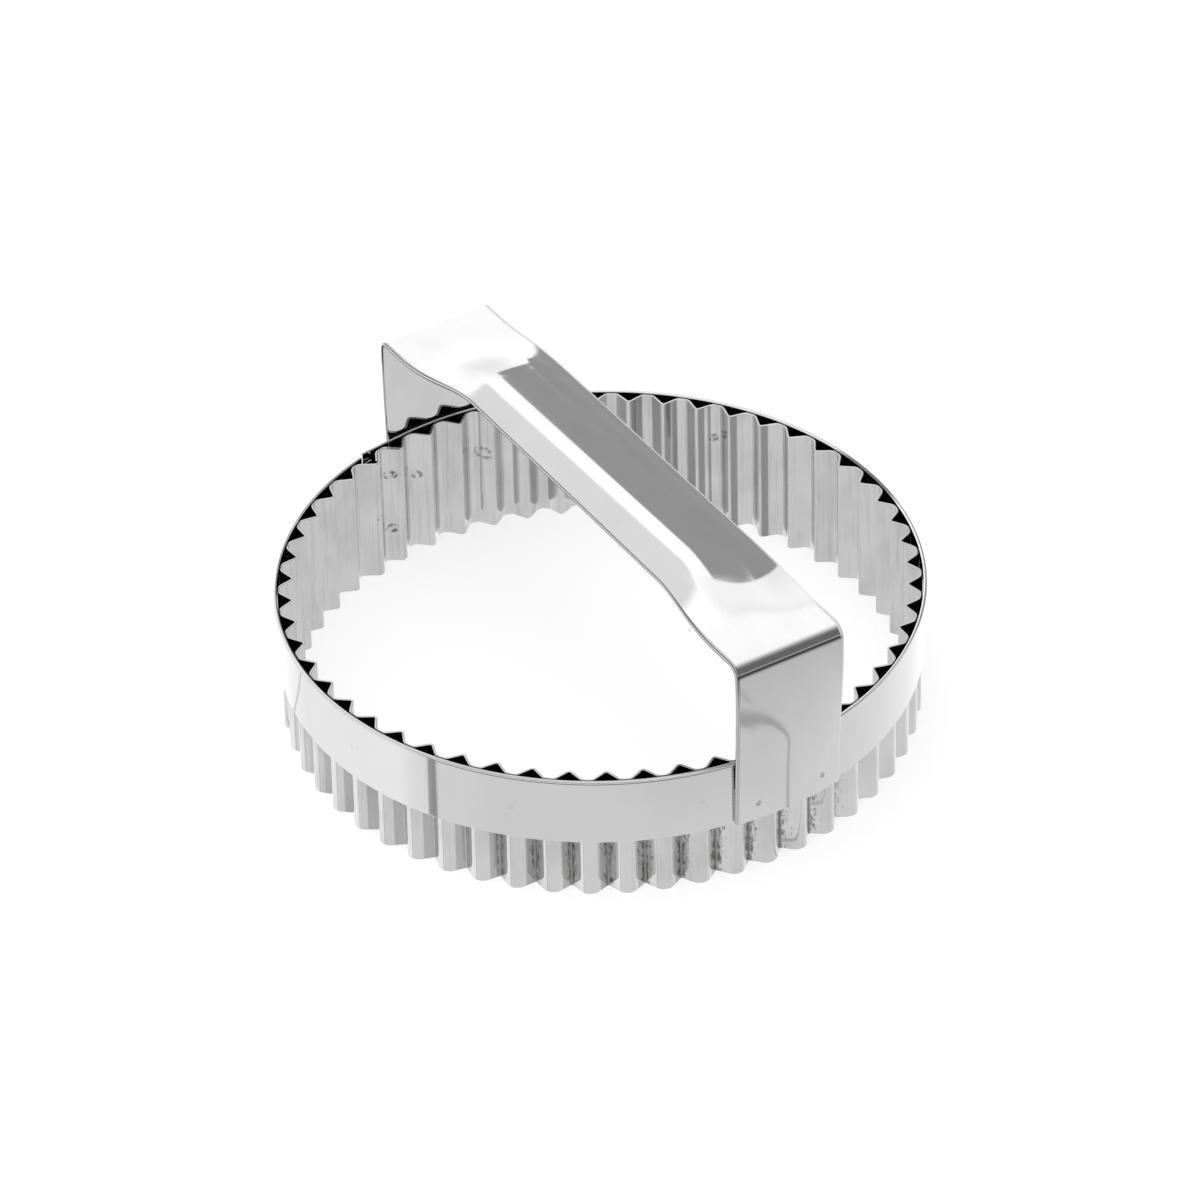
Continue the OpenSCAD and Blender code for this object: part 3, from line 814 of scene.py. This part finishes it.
class CUTTER_OT_band(bpy.types.Operator):
    """Makes the band, its folded rim and its tongue"""

    bl_idname = "cutter.band"
    bl_label = "Outer Band"

    def execute(self, context):
        size = context.scene.cutter_band
        material = steel("band_steel", context.scene.cutter_looks.band, 0.05, 1.0,
                         grime_and_shade=band_wear_and_shade(size), smudge=0.01)
        band, tongue = make_band(size)
        finish(band, material, "band_steel", "outer_band")
        finish(tongue, material, "band_steel")
        return {"FINISHED"}


class CUTTER_OT_strap(bpy.types.Operator):
    """Makes the strap handle"""

    bl_idname = "cutter.strap"
    bl_label = "Handle Strap"

    def execute(self, context):
        size = context.scene.cutter_strap
        material = steel("strap_steel", context.scene.cutter_looks.strap, 0.07, 1.0,
                         grime_and_shade=strap_wear_and_shade(size), smudge=0.015, matte=strap_scuffs(size))
        finish(make_strap(size), material, "strap_steel", "handle_strap")
        return {"FINISHED"}


class CUTTER_OT_welds(bpy.types.Operator):
    """Gives the spot welds between the sheets their steel and makes their marks on the outside"""

    bl_idname = "cutter.welds"
    bl_label = "Spot Welds"

    def execute(self, context):
        strap, looks = context.scene.cutter_strap, context.scene.cutter_looks
        inner = steel("weld_steel", looks.mark, 0.35, 0.0)
        for name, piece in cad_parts.items():
            if name.endswith("_welds"):
                wear(piece, inner)
        radius = leg_radius(strap, strap.mark_up / (strap.top - strap.front_bend - strap.low))
        across = strap.shift + np.array([-strap.mark_aside, strap.mark_aside])
        a = np.arcsin(across / radius)
        look = np.stack([np.cos(a), np.sin(a), 0 * a], -1)
        z = np.array([0.0, 0.0, strap.low + strap.mark_up])
        for name, side in (("front_leg_marks", 1.0), ("rear_leg_marks", -1.0)):
            out = look * [side, 1.0, 1.0]
            marks = make_marks(name, out * radius + z, out, strap.mark, strap.mark_lift)
            finish(marks, inner, "weld_steel")
        return {"FINISHED"}


def studio(looks):
    """The world as the steel sees it: grey to white screens round the cutter below the horizon, a
    white tent above it, a grey card behind, a paler one on the left and a dark room in front with
    a paler line low in it. The pairs of numbers are where a border starts and ends, in parts x, y
    and z of the direction. The camera sees plain white."""
    world = bpy.data.worlds.new("studio")
    bpy.context.scene.world = world
    world.use_nodes = True
    tree = world.node_tree
    x, y, z = parts(tree, node(tree, "ShaderNodeTexCoord").outputs["Generated"])
    turn = product(tree, calc(tree, "ARCTAN2", y, x), 180 / math.pi)
    screens = node(tree, "ShaderNodeValToRGB", {0: ramp(tree, turn, -180.0, 180.0, kind="LINEAR")})
    stops = screens.color_ramp.elements
    for degrees, _ in SCREENS[1:-1]:
        stops.new(degrees / 360 + 0.5)
    for stop, (_, strength) in zip(stops, SCREENS):
        stop.color = (strength / 2, strength / 2, strength / 2, 1.0)
    low = blend(tree, band_of(tree, turn, *SCREEN_GAP, 0.3), product(tree, screens.outputs[0], 2.0),
                ramp(tree, turn, *SCREEN_GAP, 0.40, 0.32))
    tent = ramp(tree, y, 0.1, 0.42, looks.panel, looks.panel * 0.93)
    light = blend(tree, ramp(tree, z, -0.06, 0.08), low, tent)

    left = product(tree, ramp(tree, y, -0.40, -0.20, 1.0, 0.0), ramp(tree, x, -0.80, -0.69),
                   ramp(tree, z, 0.2, 0.4))
    light = blend(tree, left, light, looks.left)

    end = reduce(lambda a, b: calc(tree, "ADD", a, b), (
        ramp(tree, z, -0.25, 0.12, -0.762, -0.825, "LINEAR"),
        ramp(tree, z, 0.20, 0.29, 0.0, 0.028, "LINEAR"), ramp(tree, z, 0.40, 0.50, 0.0, 0.102, "LINEAR")))
    side = calc(tree, "SUBTRACT", y, ramp(tree, z, 0.6, 0.85, 0.0, 0.004, "LINEAR"))
    back = product(tree, ramp(tree, side, 0.470, 0.512),
                   ramp(tree, calc(tree, "SUBTRACT", x, end), -0.008, 0.008),
                   ramp(tree, z, -0.32, -0.27), ramp(tree, x, -0.13, -0.03, 1.0, 0.0))
    light = blend(tree, back, light, looks.back)

    line = ramp(tree, apart(tree, z, 0.10), 0.01, 0.08, looks.room * 3, looks.room)
    front = product(tree, ramp(tree, x, -0.14, 0.66), ramp(tree, y, 0.0, 0.25), ramp(tree, z, -0.50, 0.0))
    light = blend(tree, front, light, line)
    seen = node(tree, "ShaderNodeLightPath").outputs["Is Camera Ray"]
    light = blend(tree, seen, light, 1.0)
    sky = tree.nodes["Background"].inputs
    tree.links.new(light, sky["Strength"])
    sky["Color"].default_value = (1.0,) * 4


def grey_curve(tree, across, down):
    """Share of the soft grey curve on the floor in front of the near leg, in lengths across the leg
    and down from it. It is the border of a corner rounded with the power 1.4, wider at its far end,
    and a short thin line beside it."""
    reach = largest(tree, calc(tree, "SUBTRACT", across, 0.0868), 0.0)
    reach, side = (calc(tree, "POWER", v, 1.4) for v in (reach, apart(tree, down, -0.0406)))
    gap = calc(tree, "SUBTRACT", calc(tree, "POWER", calc(tree, "ADD", reach, side), 1 / 1.4), 0.0079)
    gap = calc(tree, "DIVIDE", gap, ramp(tree, down, -0.044, -0.0328, 0.0036, 0.0005, "LINEAR"))
    arc = product(tree, ramp(tree, gap, -1.1, -0.8), ramp(tree, gap, -0.3, 1.1, 1.0, 0.0),
                  ramp(tree, down, -0.0475, -0.0460),
                  largest(tree, ramp(tree, down, -0.0410, -0.0390), ramp(tree, across, 0.086, 0.089)))
    line = calc(tree, "MULTIPLY_ADD", calc(tree, "SUBTRACT", across, 0.0986), 0.2, down)
    line = product(tree, ramp(tree, apart(tree, line, -0.0429), 0.0003, 0.0007, 0.6, 0.0),
                   ramp(tree, across, 0.098, 0.099), ramp(tree, across, 0.105, 0.107, 1.0, 0.0))
    return largest(tree, arc, line)


def make_floor(looks):
    """A flat disc of white paper under the cutter. The steel sees through it to the screens, with
    a soft grey curve in front of the near leg, and sees lit paper inside the ring."""
    a = np.linspace(0.0, 2 * math.pi, 96, endpoint=False)
    rim = 3.0 * np.stack([np.cos(a), np.sin(a), 0 * a], -1)
    mesh = bpy.data.meshes.new("floor")
    mesh.from_pydata(rim.tolist(), [], [list(range(96))])
    floor = put("floor", mesh)
    made = bpy.data.materials.new("floor_paper")
    made.use_nodes = True
    tree = made.node_tree
    shader = tree.nodes["Principled BSDF"]
    for name, value in (("Roughness", 1.0), ("Specular IOR Level", 0.0),
                        ("Base Color", (*looks.floor, 1.0)), ("Emission Color", (1.0,) * 4)):
        shader.inputs[name].default_value = value
    path = node(tree, "ShaderNodeLightPath")
    tree.links.new(product(tree, path.outputs["Is Camera Ray"], looks.glow),
                   shader.inputs["Emission Strength"])
    spots = node(tree, "ShaderNodeTexCoord").outputs["Object"]
    far = node(tree, "ShaderNodeVectorMath", {0: spots}, operation="LENGTH").outputs["Value"]
    curve = grey_curve(tree, dot(tree, spots, (0.826, 0.563, 0.0)), dot(tree, spots, (-0.563, 0.826, 0.0)))
    shade = product(tree, ramp(tree, parts(tree, spots)[0], 0.075, 0.220, 1.0, 0.25, "LINEAR"),
                    calc(tree, "SUBTRACT", 1.0, product(tree, curve, 0.40)))
    colour = node(tree, "ShaderNodeCombineColor", {0: shade, 1: shade, 2: shade}).outputs[0]
    through = node(tree, "ShaderNodeBsdfTransparent", {0: colour})
    inner = node(tree, "ShaderNodeEmission", {1: looks.inside})
    mirrored = node(tree, "ShaderNodeMixShader", {0: ramp(tree, far, 0.0570, 0.0595, 1.0, 0.0),
                                                  1: through.outputs[0], 2: inner.outputs[0]})
    both = node(tree, "ShaderNodeMixShader", {0: path.outputs["Is Glossy Ray"], 1: shader.outputs[0],
                                              2: mirrored.outputs[0]})
    tree.links.new(both.outputs[0], tree.nodes["Material Output"].inputs["Surface"])
    wear(floor, made)


def make_camera(looks):
    """The camera on its ray from the cutter's middle, rolled about its own axis and moved aside."""
    a, e, roll = looks.azimuth, looks.elevation, looks.roll
    back = Vector((math.sin(a) * math.cos(e), -math.cos(a) * math.cos(e), math.sin(e)))
    level = Vector((0, 0, 1)).cross(back).normalized()
    rise = back.cross(level)
    right = level * math.cos(roll) + rise * math.sin(roll)
    up = back.cross(right)
    data = bpy.data.cameras.new("camera")
    data.sensor_width = 36.0
    data.lens = looks.lens
    data.clip_start, data.clip_end = 0.05, 20.0
    camera = put("camera", data)
    place = back * looks.distance + right * looks.side + up * looks.lift
    turn = Matrix((right, up, back)).transposed().to_4x4()
    camera.matrix_world = Matrix.Translation(place) @ turn
    bpy.context.scene.camera = camera


class CUTTER_OT_stage(bpy.types.Operator):
    """Makes the camera, the floor and the studio light"""

    bl_idname = "cutter.stage"
    bl_label = "Stage"

    def execute(self, context):
        looks = context.scene.cutter_stage
        make_camera(looks)
        make_floor(looks)
        studio(looks)
        context.scene.view_settings.view_transform = "Standard"
        return {"FINISHED"}


class CUTTER_PT_panel(bpy.types.Panel):
    """Sizes and steps of the pastry cutter"""

    bl_label = "Pastry Cutter"
    bl_idname = "CUTTER_PT_panel"
    bl_space_type = "VIEW_3D"
    bl_region_type = "UI"
    bl_category = "Cutter"

    def draw(self, context):
        for operator in OPERATORS:
            self.layout.operator(operator.bl_idname)
        for name, group in GROUPS.items():
            box = self.layout.box()
            box.label(text=group.__doc__)
            for key in group.__annotations__:
                box.prop(getattr(context.scene, name), key)


GROUPS = {"cutter_ring": RingSizes, "cutter_band": BandSizes, "cutter_strap": StrapSizes,
          "cutter_looks": SteelLooks, "cutter_stage": StageLooks}
OPERATORS = (CUTTER_OT_stage, CUTTER_OT_ring, CUTTER_OT_band, CUTTER_OT_strap, CUTTER_OT_welds)


def register():
    for kind in (*GROUPS.values(), *OPERATORS, CUTTER_PT_panel):
        bpy.utils.register_class(kind)
    for name, group in GROUPS.items():
        setattr(bpy.types.Scene, name, PointerProperty(type=group))


def unregister():
    for name in GROUPS:
        delattr(bpy.types.Scene, name)
    for kind in (CUTTER_PT_panel, *OPERATORS, *GROUPS.values()):
        bpy.utils.unregister_class(kind)


def main():
    """Registers the add-on and makes everything in order."""
    register()
    for operator in OPERATORS:
        group, name = operator.bl_idname.split(".")
        getattr(getattr(bpy.ops, group), name)()


if __name__ == "__main__":
    main()
